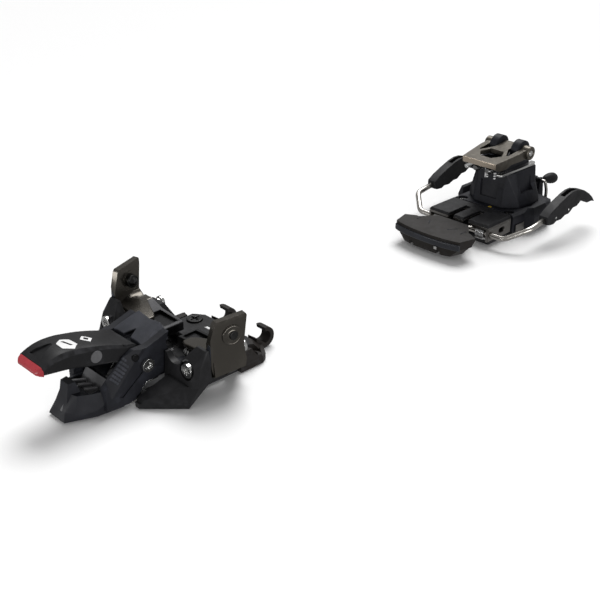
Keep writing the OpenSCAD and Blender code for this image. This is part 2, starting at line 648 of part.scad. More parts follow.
// ---- climbing aid ----
// Frame of the climbing aid, drawn level and tilted about its axle
module climbing_aid() color("#7b766e") translate([0, aid_axle_y, aid_axle_z]) rotate([aid_slope, 0, 0])
    difference() {
        union() {
            linear_extrude(3.2) polygon(whole([[14.4, -36.6], [17, -12], [17, 4.4], [5.6, 4.4]]));
            // Front bar
            profile([[-36.6, 3.2], [-36.6, -1.2], [-34.4, -1.2], [-34, 3.2]], -15, 15);
            both() profile([[-36.6, 3.2], [-36.6, -1.2], [-33, -3.6], [-25, -4], [-20, -2.4], [-6, -3.4], [0, -5],
                [4.4, -3], [4.4, 3.2]], 12.5, 17);
            both() xbar(5, 12.5, 18.4, 0, 0);
        }
        // Taper of the outer faces towards the front
        both() translate([17, -12, 0]) rotate(-6) block([0, -40, -20], [20, 0, 20]);
        // Hexagonal window
        translate([0, 0, -5]) linear_extrude(20)
            polygon(whole([[4.6, -29], [9.4, -22.6], [5.6, -14.6]]));
        // Side windows for the lugs
        both() translate([0, 0, -10]) linear_extrude(30) polygon([[5.7, -9.6], [11, -19.6], [12.5, -19.6],
            [12.5, 12], [5.7, 12]]);
        // Round over the middle of the rear
        translate([-5.7, -8.4, -3]) cube([11.4, 20, 3.8]);
        xbar(2.2 + run, -30, 30, 0, 0);
    }

module climbing_aid_axle() color("#b5b6b8") xbar(2.2, -18.9, 18.9, aid_axle_y, aid_axle_z);

// ---- rear lever ----
// Small lever with a bulb on its end
module rear_lever() color("#17181a") difference() {
    union() {
        xbar(2, 6.8, 9.2, rear_y, rear_z);
        translate([8, rear_y, rear_z]) rotate([-101, 0, 0]) {
            cylinder(r = 1.1, h = 10);
            translate([0, 0, 9]) rotate_extrude() polygon([[0, 0], [1.4, 0], [3, 4], [4.2, 9], [4.1, 13],
                [2.6, 16], [0, 16.6]]);
        }
    }
    xbar(1.2 + run, 0, 20, rear_y, rear_z);
}

// Wire bail behind the carriage, with the pin of the rear lever as its top
module rear_bail() color("#bdbfc1") {
    xbar(1.2, 4.7, 14.6, rear_y, rear_z);
    rod([14.6, rear_y, rear_z], [14.6, rear_y + 3, 16.4], 1.2);
    rod([14.6, rear_y + 3, 16.4], [14.6, rear_y + 3, 5.8], 1.2);
}

toe_base();
toe_rear_plate();
toe_cover();
toe_cover_screws();
wing_axles();
wing_left();
wing_right();
wing_arm_left();
wing_arm_right();
toe_pin_left();
toe_pin_right();
toe_spring_left();
toe_spring_right();
opening_lever();
opening_lever_axle();
lever_side_plates();
pocket_insert();
lock_lever();
lock_lever_axle();
lock_lever_pin();
lock_lever_band();
heel_track();
brake_bracket();
brake_cover();
brake_pedal();
brake_wire_left();
brake_wire_right();
brake_arm_left();
brake_arm_right();
brake_arm_rivets();
brake_springs();
heel_carriage();
carriage_screws();
index_dot();
turn_post();
adjusting_screw();
heel_tower();
tower_rails();
heel_pin_left();
heel_pin_right();
heel_pin_pivots();
release_spring();
release_screw();
climbing_aid();
climbing_aid_axle();
rear_lever();
rear_bail();
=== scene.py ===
"""Looks of the touring binding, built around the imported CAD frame.

Every shape is drawn in millimetres in the frame of the CAD: +Y towards the heel, +X right,
+Z up from the ski.
"""

import json
import math

import bmesh
import bpy
from mathutils import Matrix, Vector


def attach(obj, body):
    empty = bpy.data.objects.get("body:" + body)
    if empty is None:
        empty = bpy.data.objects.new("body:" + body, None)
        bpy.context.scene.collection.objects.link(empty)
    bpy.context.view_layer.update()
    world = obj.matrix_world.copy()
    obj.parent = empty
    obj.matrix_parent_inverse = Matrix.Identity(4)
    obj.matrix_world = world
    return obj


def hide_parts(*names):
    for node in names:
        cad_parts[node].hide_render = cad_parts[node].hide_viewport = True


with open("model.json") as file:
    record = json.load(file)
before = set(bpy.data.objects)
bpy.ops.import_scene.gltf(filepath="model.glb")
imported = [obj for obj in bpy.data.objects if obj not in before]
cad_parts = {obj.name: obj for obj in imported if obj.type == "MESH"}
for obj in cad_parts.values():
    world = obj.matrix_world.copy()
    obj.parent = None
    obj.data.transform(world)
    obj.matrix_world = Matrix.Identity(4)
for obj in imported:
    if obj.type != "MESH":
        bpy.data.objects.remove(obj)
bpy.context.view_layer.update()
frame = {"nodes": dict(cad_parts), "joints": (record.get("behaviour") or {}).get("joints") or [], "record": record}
NODES = frame["nodes"]
MM = 0.001
ACROSS = (1, 0, 0)
SIDES = ((1, "right"), (-1, "left"))
DRAWN_DIGITS = 3
# the point each joint turns about
PIVOT = {
    joint["name"]: tuple(round(c / MM, DRAWN_DIGITS) for c in joint["pos_m"])
    for joint in frame["joints"] if joint.get("pos_m")
}
THINNEST = 0.02  # radius at the tip of a turned shape


# ---------------------------------------------------------------- meshes
def mesh_object(name, verts, faces):
    """A mesh object from points."""
    mesh = bpy.data.meshes.new(name)
    mesh.from_pydata(verts, [], faces)
    mesh.update()
    obj = bpy.data.objects.new(name, mesh)
    bpy.context.scene.collection.objects.link(obj)
    return obj


def from_bmesh(name, bm):
    """Closes a bmesh into an object with outward faces."""
    bmesh.ops.recalc_face_normals(bm, faces=bm.faces)
    mesh = bpy.data.meshes.new(name)
    bm.to_mesh(mesh)
    bm.free()
    obj = bpy.data.objects.new(name, mesh)
    bpy.context.scene.collection.objects.link(obj)
    return obj


def loft(rings, name="loft"):
    """Skins rings of equal length and caps both ends."""
    bm = bmesh.new()
    rows = [[bm.verts.new(p) for p in ring] for ring in rings]
    n = len(rows[0])
    for a, b in zip(rows, rows[1:]):
        for i in range(n):
            j = (i + 1) % n
            bm.faces.new((a[i], a[j], b[j], b[i]))
    bm.faces.new(list(reversed(rows[0])))
    bm.faces.new(rows[-1])
    return from_bmesh(name, bm)


def prism(axis, outline, low, high):
    """An outline extruded along axis: (y, z) along x, (x, z) along y, (x, y) along z."""
    place = {
        "x": lambda p, t: (t, p[0], p[1]),
        "y": lambda p, t: (p[0], t, p[1]),
        "z": lambda p, t: (p[0], p[1], t),
    }[axis]
    return loft([[place(p, low) for p in outline], [place(p, high) for p in outline]], "prism")


def box(low, high):
    """A box from corner to corner."""
    outline = [(low[0], low[1]), (high[0], low[1]), (high[0], high[1]), (low[0], high[1])]
    return prism("z", outline, low[2], high[2])


def hull(points):
    """The convex solid around the points."""
    same_plane = math.radians(0.5)
    bm = bmesh.new()
    verts = [bm.verts.new(p) for p in points]
    bmesh.ops.convex_hull(bm, input=verts)
    bmesh.ops.delete(bm, geom=[v for v in bm.verts if not v.link_faces], context="VERTS")
    bmesh.ops.dissolve_limit(bm, angle_limit=same_plane, verts=bm.verts, edges=bm.edges)
    return from_bmesh("hull", bm)


def ring(radius, steps=48):
    """Points on a circle."""
    angles = [2 * math.pi * i / steps for i in range(steps)]
    return [(radius * math.cos(a), radius * math.sin(a)) for a in angles]


def lathe(profile, origin, axis, steps=48):
    """Turns a profile of (radius, distance along axis) about axis, from origin."""
    turn = Vector((0, 0, 1)).rotation_difference(Vector(axis)).to_matrix()
    rings = [
        [Vector(origin) + turn @ Vector((x, y, t)) for x, y in ring(max(r, THINNEST), steps)]
        for r, t in profile
    ]
    return loft(rings, "lathe")


def rod(origin, axis, radius, length, edge=0.3, steps=48):
    """A cylinder with chamfered ends."""
    profile = [(radius - edge, 0), (radius, edge), (radius, length - edge), (radius - edge, length)]
    return lathe(profile, origin, axis, steps)


def cylinder(origin, axis, radius, length, steps=48):
    """A plain cylinder, mostly for cutting."""
    return lathe([(radius, 0), (radius, length)], origin, axis, steps)


def baked(obj):
    """Applies the modifiers of obj."""
    depsgraph = bpy.context.evaluated_depsgraph_get()
    mesh = bpy.data.meshes.new_from_object(obj.evaluated_get(depsgraph))
    obj.modifiers.clear()
    old = obj.data
    obj.data = mesh
    bpy.data.meshes.remove(old)
    return obj


def combine(obj, others, operation):
    """Boolean of obj with others, which are used up."""
    for other in others:
        modifier = obj.modifiers.new("boolean", "BOOLEAN")
        modifier.operation = operation
        modifier.solver = "EXACT"
        modifier.object = other
        baked(obj)
        bpy.data.objects.remove(other)
    return obj


def cut(obj, *others):
    """obj without the others."""
    return combine(obj, others, "DIFFERENCE")


def add(obj, *others):
    """obj together with the others, as one solid."""
    return combine(obj, others, "UNION")


def join(*objs):
    """Several solids as one object, without merging them."""
    bm = bmesh.new()
    for o in objs:
        bm.from_mesh(o.data)
        bpy.data.objects.remove(o)
    return from_bmesh("join", bm)


def mirrored(obj):
    """A mirror image of obj across the middle of the ski."""
    bm = bmesh.new()
    bm.from_mesh(obj.data)
    bmesh.ops.scale(bm, vec=(-1, 1, 1), verts=bm.verts)
    bmesh.ops.reverse_faces(bm, faces=bm.faces)
    return from_bmesh("mirrored", bm)


def mirrored_away(obj):
    """The mirror image of obj, which is used up."""
    other = mirrored(obj)
    bpy.data.objects.remove(obj)
    return other


def both(obj):
    """obj and its mirror image as one object."""
    return join(obj, mirrored(obj))


def turned(obj, angle, axis):
    """obj turned by degrees about an axis through the origin."""
    obj.data.transform(Matrix.Rotation(math.radians(angle), 4, Vector(axis)))
    return obj


def moved(obj, offset):
    """obj shifted by offset."""
    obj.data.transform(Matrix.Translation(Vector(offset)))
    return obj


def smooth_path(points, bend, steps=6):
    """A polyline with its corners rounded by quadratic arcs that start bend before each corner."""
    most = 0.45  # of a stretch, so that two bends never meet
    points = [Vector(p) for p in points]
    path = [points[0]]
    for a, b, c in zip(points, points[1:], points[2:]):
        start = b + (a - b).normalized() * min(bend, (a - b).length * most)
        end = b + (c - b).normalized() * min(bend, (c - b).length * most)
        for i in range(steps + 1):
            t = i / steps
            path.append(start * (1 - t) ** 2 + b * 2 * t * (1 - t) + end * t ** 2)
    return path + [points[-1]]


def tube(path, radius, sides=20):
    """A round bar along a path."""
    path = [Vector(p) for p in path]
    side = None
    rings = []
    for i, p in enumerate(path):
        along = (path[min(i + 1, len(path) - 1)] - path[max(i - 1, 0)]).normalized()
        if side is None:
            side = along.orthogonal().normalized()
        side = (side - along * side.dot(along)).normalized()
        up = along.cross(side)
        rings.append([p + side * x + up * y for x, y in ring(radius, sides)])
    return loft(rings, "tube")


def coil(origin, axis, radius, wire, length, turns, steps=20, sides=10):
    """An open coil spring from origin along axis."""
    turn = Vector((0, 0, 1)).rotation_difference(Vector(axis)).to_matrix()
    count = turns * steps
    path = []
    for i in range(count + 1):
        a = 2 * math.pi * i / steps
        rise = wire + (length - 2 * wire) * i / count
        path.append(Vector(origin) + turn @ Vector((radius * math.cos(a), radius * math.sin(a), rise)))
    return tube(path, wire, sides)


# ---------------------------------------------------------------- materials
NOISE_LOW, NOISE_HIGH = 0.3, 0.7  # the part of the noise's range that is used
FINE_DETAIL = 4
# noise that breaks up the lighter edges, which are partly rubbed wear and partly painted highlight
WEAR_AND_HIGHLIGHT_SCALE, WEAR_AND_HIGHLIGHT_DETAIL = 260, 5
MIX_COLOR_A, MIX_COLOR_B, MIX_COLOR = 6, 7, 2  # colour sockets of the mix node


def shader(name, color, metallic, roughness, specular=0.5):
    """A Principled material, its node tree and its shader node."""
    mat = bpy.data.materials.new(name)
    mat.use_nodes = True
    tree = mat.node_tree
    bsdf = tree.nodes["Principled BSDF"]
    bsdf.inputs["Base Color"].default_value = (*color, 1)
    bsdf.inputs["Metallic"].default_value = metallic
    bsdf.inputs["Roughness"].default_value = roughness
    bsdf.inputs["Specular IOR Level"].default_value = specular
    return mat, tree, bsdf


def noise_node(tree, scale, detail=3.0, stretch=None):
    """Noise in object space, scale in features per metre."""
    coords = tree.nodes.new("ShaderNodeTexCoord")
    node = tree.nodes.new("ShaderNodeTexNoise")
    node.inputs["Scale"].default_value = scale
    node.inputs["Detail"].default_value = detail
    if stretch:
        mapping = tree.nodes.new("ShaderNodeMapping")
        mapping.inputs["Scale"].default_value = stretch
        tree.links.new(coords.outputs["Object"], mapping.inputs["Vector"])
        tree.links.new(mapping.outputs["Vector"], node.inputs["Vector"])
    else:
        tree.links.new(coords.outputs["Object"], node.inputs["Vector"])
    return node


def ramp(tree, source, stops):
    """A colour ramp over source; stops are (position, colour)."""
    node = tree.nodes.new("ShaderNodeValToRGB")
    elements = node.color_ramp.elements
    while len(elements) < len(stops):
        elements.new(0.5)
    for element, (position, color) in zip(elements, stops):
        element.position = position
        element.color = (*color, 1)
    tree.links.new(source, node.inputs["Fac"])
    return node


def grey(value):
    return (value, value, value)


def mottle(tree, color, spread, scale):
    """Soft variation of the base colour."""
    low = tuple(c * (1 - spread) for c in color)
    high = tuple(c * (1 + spread) for c in color)
    noise = noise_node(tree, scale, FINE_DETAIL)
    return ramp(tree, noise.outputs["Fac"], [(NOISE_LOW, low), (NOISE_HIGH, high)]).outputs["Color"]


def worn_and_highlit_edges(tree, base, wear_and_highlight, amount):
    """Mixes the base colour towards a lighter colour on convex edges, broken up by noise: partly rubbed wear,
    partly painted edge highlight.
    """
    flat, sharp = 0.5, 0.62
    unmarked, marked = 0.4, 0.65
    geometry = tree.nodes.new("ShaderNodeNewGeometry")
    edge = ramp(tree, geometry.outputs["Pointiness"], [(flat, grey(0)), (sharp, grey(amount))])
    noise = noise_node(tree, WEAR_AND_HIGHLIGHT_SCALE, WEAR_AND_HIGHLIGHT_DETAIL)
    patches = ramp(tree, noise.outputs["Fac"], [(unmarked, grey(0)), (marked, grey(1))])
    both_masks = tree.nodes.new("ShaderNodeMath")
    both_masks.operation = "MULTIPLY"
    tree.links.new(edge.outputs["Color"], both_masks.inputs[0])
    tree.links.new(patches.outputs["Color"], both_masks.inputs[1])
    mix = tree.nodes.new("ShaderNodeMix")
    mix.data_type = "RGBA"
    mix.inputs[MIX_COLOR_B].default_value = (*wear_and_highlight, 1)
    tree.links.new(both_masks.outputs[0], mix.inputs["Factor"])
    tree.links.new(base, mix.inputs[MIX_COLOR_A])
    return mix.outputs[MIX_COLOR]


def bump(tree, bsdf, noise, distance, strength):
    """Bump from noise, distance in metres."""
    node = tree.nodes.new("ShaderNodeBump")
    node.inputs["Distance"].default_value = distance
    node.inputs["Strength"].default_value = strength
    tree.links.new(noise.outputs["Fac"], node.inputs["Height"])
    tree.links.new(node.outputs["Normal"], bsdf.inputs["Normal"])


def vary_roughness(tree, bsdf, low, high, scale, stretch=None):
    """Uneven sheen between two roughnesses."""
    noise = noise_node(tree, scale, FINE_DETAIL, stretch)
    node = ramp(tree, noise.outputs["Fac"], [(NOISE_LOW, grey(low)), (NOISE_HIGH, grey(high))])
    tree.links.new(node.outputs["Color"], bsdf.inputs["Roughness"])


def moulded(name, color, rough=0.42, wear_and_highlight=(0.05, 0.05, 0.055), specular=0.16):
    """Glass-filled moulded plastic: fine grain, uneven sheen, lighter edges that are partly rubbed wear and partly
    painted highlight.
    """
    mat, tree, bsdf = shader(name, color, 0.0, rough, specular)
    base = mottle(tree, color, spread=0.18, scale=55)
    # lighter edges: partly rubbed wear, partly painted edge highlight
    tree.links.new(worn_and_highlit_edges(tree, base, wear_and_highlight, 0.4), bsdf.inputs["Base Color"])
    vary_roughness(tree, bsdf, rough - 0.08, rough + 0.1, scale=90)
    bump(tree, bsdf, noise_node(tree, 2600, 2), distance=0.00006, strength=0.5)
    return mat


def metal(name, color, rough, wear_and_highlight, grain=(40, 400, 400), wear_and_highlight_amount=0.3):
    """Metal with fine drawn or brushed lines and lighter edges that are partly rubbed wear and partly painted
    highlight.
    """
    lines = 14
    mat, tree, bsdf = shader(name, color, 1.0, rough)
    base = mottle(tree, color, spread=0.08, scale=60)
    # lighter edges: partly rubbed wear, partly painted edge highlight
    tree.links.new(worn_and_highlit_edges(tree, base, wear_and_highlight, wear_and_highlight_amount), bsdf.inputs["Base Color"])
    vary_roughness(tree, bsdf, rough * 0.9, rough * 1.15, lines, grain)
    bump(tree, bsdf, noise_node(tree, lines, 3, grain), distance=0.00001, strength=0.25)
    return mat


def anodised(name, color, rough, wear_and_highlight, wear_and_highlight_amount=0.25):
    """Dark anodised alloy: a tinted metal, smooth, with a fine brushed direction."""
    lines = 30
    mat, tree, bsdf = shader(name, color, 0.85, rough, 0.4)
    base = mottle(tree, color, spread=0.07, scale=40)
    # lighter edges: partly rubbed wear, partly painted edge highlight
    tree.links.new(worn_and_highlit_edges(tree, base, wear_and_highlight, wear_and_highlight_amount), bsdf.inputs["Base Color"])
    vary_roughness(tree, bsdf, rough * 0.92, rough * 1.12, lines)
    bump(tree, bsdf, noise_node(tree, lines, 3, (12, 1.5, 12)), distance=0.00001, strength=0.2)
    return mat


def painted(name, color, rough):
    """Smooth paint or print."""
    mat, tree, bsdf = shader(name, color, 0.0, rough)
    tree.links.new(mottle(tree, color, spread=0.08, scale=300), bsdf.inputs["Base Color"])
    vary_roughness(tree, bsdf, rough * 0.85, rough * 1.2, scale=500)
    bump(tree, bsdf, noise_node(tree, 1800, 2), distance=0.00003, strength=0.3)
    return mat


# the second colour in a line is the lighter edge colour: partly rubbed wear, partly painted edge highlight
MATS = {
    "black_polymer": moulded("black_polymer", (0.012, 0.012, 0.013), 0.46),
    "blue_black_polymer": moulded("blue_black_polymer", (0.0125, 0.013, 0.0165), 0.46, (0.04, 0.043, 0.055)),
    "brown_black_polymer": moulded("brown_black_polymer", (0.017, 0.0145, 0.013), 0.5),
    "gloss_polymer": moulded("gloss_polymer", (0.014, 0.0155, 0.021), 0.24, (0.05, 0.055, 0.07), 0.5),
    "slate_polymer": moulded("slate_polymer", (0.032, 0.034, 0.041), 0.5, (0.09, 0.09, 0.11)),
    # grey_polymer gives the painted highlight on the jaw's tip
    "grey_polymer": moulded("grey_polymer", (0.11, 0.11, 0.115), 0.5, (0.2, 0.2, 0.2)),
    "red_label": painted("red_label", (0.36, 0.03, 0.04), 0.3),
    "white_print": painted("white_print", (0.8, 0.8, 0.8), 0.45),
    "gold_dot": painted("gold_dot", (0.6, 0.4, 0.04), 0.4),
    "titanium_grey": anodised("titanium_grey", (0.105, 0.095, 0.08), 0.3, (0.4, 0.37, 0.32)),
    "titanium_gloss": anodised("titanium_gloss", (0.085, 0.078, 0.068), 0.22, (0.4, 0.37, 0.33), 0.12),
    "champagne_steel": metal("champagne_steel", (0.62, 0.53, 0.43), 0.24, (0.6, 0.55, 0.48), (4, 300, 300)),
    "black_steel": metal("black_steel", (0.03, 0.03, 0.03), 0.3, (0.2, 0.2, 0.2)),
    "dark_steel": anodised("dark_steel", (0.014, 0.014, 0.015), 0.4, (0.08, 0.08, 0.08)),
    "bracket_steel": metal("bracket_steel", (0.2, 0.19, 0.18), 0.34, (0.4, 0.4, 0.38)),
    "bright_steel": metal("bright_steel", (0.6, 0.6, 0.59), 0.2, (0.8, 0.8, 0.8)),
    "wire_steel": metal("wire_steel", (0.5, 0.48, 0.45), 0.24, (0.7, 0.69, 0.67), (9, 9, 9), 0.1),
    "heel_pin_steel": metal("heel_pin_steel", (0.2, 0.2, 0.2), 0.25, (0.5, 0.5, 0.5)),
    "spring_steel": metal("spring_steel", (0.5, 0.5, 0.5), 0.22, (0.7, 0.7, 0.7)),
}


# ---------------------------------------------------------------- pieces
FLAT_FACE_WEIGHT = 60
ROUND_SEGMENTS = 3
KEPT_SEGMENTS = 2
KEPT_ANGLE = math.radians(30)
SAME_POINT = 0.002  # millimetres
SAME_PLANE = math.radians(1)


def shade_smooth(obj):
    for polygon in obj.data.polygons:
        polygon.use_smooth = True


def soften(obj, width, angle):
    """Rounds the edges of obj, width in millimetres, and keeps its flat faces flat."""
    bevel = obj.modifiers.new("round", "BEVEL")
    bevel.width = width * MM
    bevel.segments = ROUND_SEGMENTS
    bevel.limit_method = "ANGLE"
    bevel.angle_limit = math.radians(angle)
    bevel.miter_outer = "MITER_ARC"
    bevel.use_clamp_overlap = True
    normals = obj.modifiers.new("normals", "WEIGHTED_NORMAL")
    normals.keep_sharp = True
    normals.weight = FLAT_FACE_WEIGHT


def keep(node, material, width):
    """A CAD node whose shape is right: it gets rounded edges and its material."""
    obj = NODES[node]
    obj.data.materials.clear()
    obj.data.materials.append(MATS[material])
    shade_smooth(obj)
    weld = obj.modifiers.new("weld", "WELD")
    weld.merge_threshold = SAME_POINT * MM
    flatten = obj.modifiers.new("flatten", "DECIMATE")
    flatten.decimate_type = "DISSOLVE"
    flatten.angle_limit = SAME_PLANE
    bevel = obj.modifiers.new("round", "BEVEL")
    bevel.width = width * MM
    bevel.segments = KEPT_SEGMENTS
    bevel.limit_method = "ANGLE"
    bevel.angle_limit = KEPT_ANGLE
    normals = obj.modifiers.new("normals", "WEIGHTED_NORMAL")
    normals.keep_sharp = True


def piece(obj, name, body, material, width, nodes=(), angle=28):
    """Names a finished shape, brings it to metres, rounds its edges that turn more than angle by width,
    and ties it to its CAD body and the nodes it stands for."""
    obj.name = name
    obj.data.name = name
    obj.data.transform(Matrix.Scale(MM, 4))
    obj.data.materials.clear()
    obj.data.materials.append(MATS[material])
    shade_smooth(obj)
    if width:
        soften(obj, width, angle)
    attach(obj, body)
    if nodes:
        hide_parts(*nodes)


# ---------------------------------------------------------------- toe unit
def catmull_rom(p, t):
    """Value at t from 0 to 1 between the middle two of four numbers."""
    a, b, c, d = p
    square = (2 * a - 5 * b + 4 * c - d) * t * t
    cube = (3 * b - a - 3 * c + d) * t ** 3
    return 0.5 * (2 * b + (c - a) * t + square + cube)


def spline(values, steps):
    """Catmull-Rom rows between rows of numbers, steps rows to a span."""
    rows = []
    last = len(values) - 1
    for i in range(last):
        p = [values[max(i - 1, 0)], values[i], values[i + 1], values[min(i + 2, last)]]
        for j in range(steps):
            rows.append([catmull_rom(column, j / steps) for column in zip(*p)])
    rows.append(list(values[last]))
    return rows


LOCK_ROWS = [
    # y, half width, half width below, bottom, top, chamfer
    (-89.05, 11.2, 10.6, 34.4, 39.2, 1.6),
    (-84, 11.3, 10.5, 33.5, 42.0, 2.7),
    (-78, 11.5, 10.6, 32.6, 43.25, 3.3),
    (-71, 11.6, 11.2, 31.6, 42.8, 3.2),
    (-65, 11.7, 11.6, 29.8, 41.5, 3.0),
    (-58, 11.8, 11.8, 28.2, 39.7, 2.7),
    (-51, 11.9, 11.9, 26.6, 37.4, 2.4),
    (-45, 11.9, 11.9, 24.4, 35.1, 2.2),
    (-40, 11.9, 11.9, 22.4, 33.3, 2.0),
]
SAG = 0.3  # how far the middle of the underside hangs down
LOW_EDGE = 1.0  # chamfer below
CROWN = 0.35  # how far the middle of the top rises
KNEE_IN, KNEE_DOWN = 0.55, 0.32  # the knee of the chamfer, in chamfers
EDGE_IN = 1.3  # where the chamfer starts on top, in chamfers
BODY_STEPS, TOP_STEPS = 5, 8  # sections between two rows, in the shell and in lock_top


def lock_ring(y, w, low_w, bottom, top, chamfer):
    """One closed section of the lock lever."""
    half = [
        (0, bottom - SAG), (low_w - LOW_EDGE, bottom), (low_w, bottom + LOW_EDGE), (w, top - chamfer),
        (w - KNEE_IN * chamfer, top - KNEE_DOWN * chamfer), (w - EDGE_IN * chamfer, top), (0, top + CROWN),
    ]
    return [(x, y, z) for x, z in half] + [(-x, y, z) for x, z in reversed(half[1:-1])]


def lock_top(x, y):
    """Height of the top of the lock lever."""
    rows = spline(LOCK_ROWS, TOP_STEPS)
    for a, b in zip(rows, rows[1:]):
        if a[0] <= y <= b[0]:
            f = (y - a[0]) / (b[0] - a[0])
            w, top, chamfer = (a[i] + (b[i] - a[i]) * f for i in (1, 4, 5))
            edge = w - EDGE_IN * chamfer
            knee = w - KNEE_IN * chamfer
            x = abs(x)
            if x <= edge:
                return top + CROWN * (1 - x / edge)
            drop = KNEE_DOWN * chamfer
            if x <= knee:
                return top - drop * (x - edge) / (knee - edge)
            return top - drop - (chamfer - drop) * (x - knee) / (w - knee)
    return LOCK_ROWS[-1][4]


def lock_lever():
    """The lock lever with its hub, the recess in its tip, its side hollows and the cross pin's hole."""
    _, axle_y, axle_z = PIVOT["lock_lever"]
    half_w = 11.9
    hub_r = 5.6
    body = loft([lock_ring(*row) for row in spline(LOCK_ROWS, BODY_STEPS)])
    hub = rod((-half_w, axle_y, axle_z), ACROSS, hub_r, 2 * half_w, edge=0.8, steps=56)
    lip = prism("x", [(-43, 28), (-34.8, 29.6), (-35.4, 31.0), (-37.4, 32.2), (-43, 34.0)], -11.3, 11.3)
    add(body, hub, lip)
    recess = prism("z", [(-5.2, -2.4), (5.2, -2.4), (0.9, 7.8), (-0.9, 7.8)], 0, 4)
    recess_slope = 19
    recess = moved(turned(recess, recess_slope, ACROSS), (0, -84.4, 40.75))
    slot = box((-8.6, -47, 10), (8.6, -30, 31.2))
    side = both(prism("x", [(-73, 26), (-58, 22), (-51, 24.5), (-62, 32.4), (-70, 33.6)], 11.45, 13))
    pin_hole_r = 3.35
    pin_hole = cylinder((-13, -59.9, 34), ACROSS, pin_hole_r, 26)
    cut(body, recess, slot, side, pin_hole)
    piece(body, "lock_lever_shell", "lock_lever", "black_polymer", 0.45, ["lock_lever"], angle=24)


def print_patch(name, points, centre, lift, material):
    """A thin flat shape that follows the top of the lock lever, lift above it."""
    reach, grid, cuts = 7, 0.6, 24
    thickness = 0.06
    bm = bmesh.new()
    bm.faces.new([bm.verts.new((centre[0] + x, centre[1] + y, 0)) for x, y in points])
    for step in range(cuts):
        at = [c - reach + step * grid for c in centre]
        for place, normal in (((at[0], 0, 0), (1, 0, 0)), ((0, at[1], 0), (0, 1, 0))):
            geom = bm.verts[:] + bm.edges[:] + bm.faces[:]
            bmesh.ops.bisect_plane(bm, geom=geom, plane_co=place, plane_no=normal)
    for v in bm.verts:
        v.co.z = lock_top(v.co.x, v.co.y) + lift
    obj = from_bmesh(name, bm)
    solid = obj.modifiers.new("thick", "SOLIDIFY")
    solid.thickness = thickness
    solid.offset = 1
    baked(obj)
    piece(obj, name, "lock_lever", material, 0)


def decal(name, outline, centre, mark):
    """A white print on the lock lever with one dark mark on it."""
    print_lift, mark_lift = 0.03, 0.1
    print_patch(name, outline, centre, print_lift, "white_print")
    print_patch(name + "_mark0", mark, centre, mark_lift, "black_polymer")


def lever_prints():
    """Two plain prints on the lock lever: a hexagon with a bar and a diamond with a small diamond."""
    hexagon = [(-5.2, -0.6), (-3.2, 3.6), (2.6, 4.6), (5.6, 1.2), (3.4, -4.2), (-2.4, -4.4)]
    bar = [(-3, -1.4), (2.6, 0.6), (3, 2), (-2.6, 0)]
    decal("lever_print", hexagon, (3.9, -71.2), bar)
    diamond = [(-3.6, -0.4), (0.2, 3.4), (3.8, 0.2), (0, -3.6)]
    small_diamond = [(-1.6, -0.2), (0, 1.4), (1.6, 0), (0, -1.6)]
    decal("lever_print_small", diamond, (2.2, -59), small_diamond)


def copy_of(node):
    """The CAD shape of a node as a new object in millimetres, to be worked further."""
    source = NODES[node]
    bm = bmesh.new()
    bm.from_mesh(source.data)
    bm.transform(Matrix.Scale(1 / MM, 4) @ source.matrix_world)
    bmesh.ops.remove_doubles(bm, verts=bm.verts, dist=SAME_POINT)
    bmesh.ops.dissolve_limit(bm, angle_limit=SAME_PLANE, verts=bm.verts, edges=bm.edges)
    return from_bmesh(node + "_copy", bm)


# the plane of the right arm's bevel: a point on it, its direction along the arm and across it
BEVEL_POINT = Vector((13, -46, 28.9))
BEVEL_ALONG = Vector((0, 0.697, 0.717))
BEVEL_ACROSS = Vector((0.426, 0, -0.905))
BEVEL_OUT = -BEVEL_ALONG.cross(BEVEL_ACROSS).normalized()


def bevel_point(u, v):
    return BEVEL_POINT + BEVEL_ALONG * u + BEVEL_ACROSS * v


def arm_hexagons():
    """The field of small raised hexagons on the bevels of the arms."""
    rows, columns, pitch = 4, 8, 2.0
    row_pitch = 0.87 * pitch
    first_u, first_v = -13.6, 1.6
    stud = [(0.88, -0.3), (0.88, 0.12), (0.7, 0.24)]
    studs = []
    for row in range(rows):
        for column in range(columns):
            u = first_u + column * pitch + (row % 2) * pitch / 2
            v = first_v + row * row_pitch
            low_end, high_end = -13.9 + v * 0.75, -1.0 + v * 0.9
            if low_end <= u <= high_end:
                studs.append(lathe(stud, bevel_point(u, v), BEVEL_OUT, steps=6))
    piece(both(join(*studs)), "arm_hexagons", "opening_lever", "slate_polymer", 0)


def opening_lever():
    """The lever with bevelled arms and a small grey facet on its tip, which is a painted highlight."""
    node = "opening_lever"
    body = copy_of(node)
    wedge_height = 12
    low = [bevel_point(u, v) for u, v in ((-15.5, -6), (14, -6), (14, 12), (-15.5, 12))]
    wedge = hull([p + BEVEL_OUT * t for p in low for t in (0, wedge_height)])
    other = mirrored(wedge)
    cut(body, wedge, other, hump_notch())
    piece(body, "opening_lever_shell", node, "blue_black_polymer", 0.4, [node], angle=24)
    arm_hexagons()
    # painted highlight: a small grey piece on the tip where light catches the black prow
    front = [(0.4, -77.3, 5.4), (1.4, -78.6, 2.6), (2.2, -77.3, 5.4), (1.3, -75.6, 8.4)]
    highlight_facet = hull(front + [(1.3, -74.5, 5)])
    piece(highlight_facet, "jaw_painted_highlight", "opening_lever", "grey_polymer", 0.1)


def hump_notch():
    """The dark triangular notch in the front of the hump, as a cutter with its point to the rear."""
    half_w, front_y, tip_y = 3.9, -35.0, -27.2
    low_z, tip_low_z, high_z = 28.4, 30.6, 33.6
    front = [(x, front_y, z) for z in (low_z, high_z) for x in (-half_w, half_w)]
    return hull(front + [(0, tip_y, tip_low_z), (0, tip_y, high_z)])


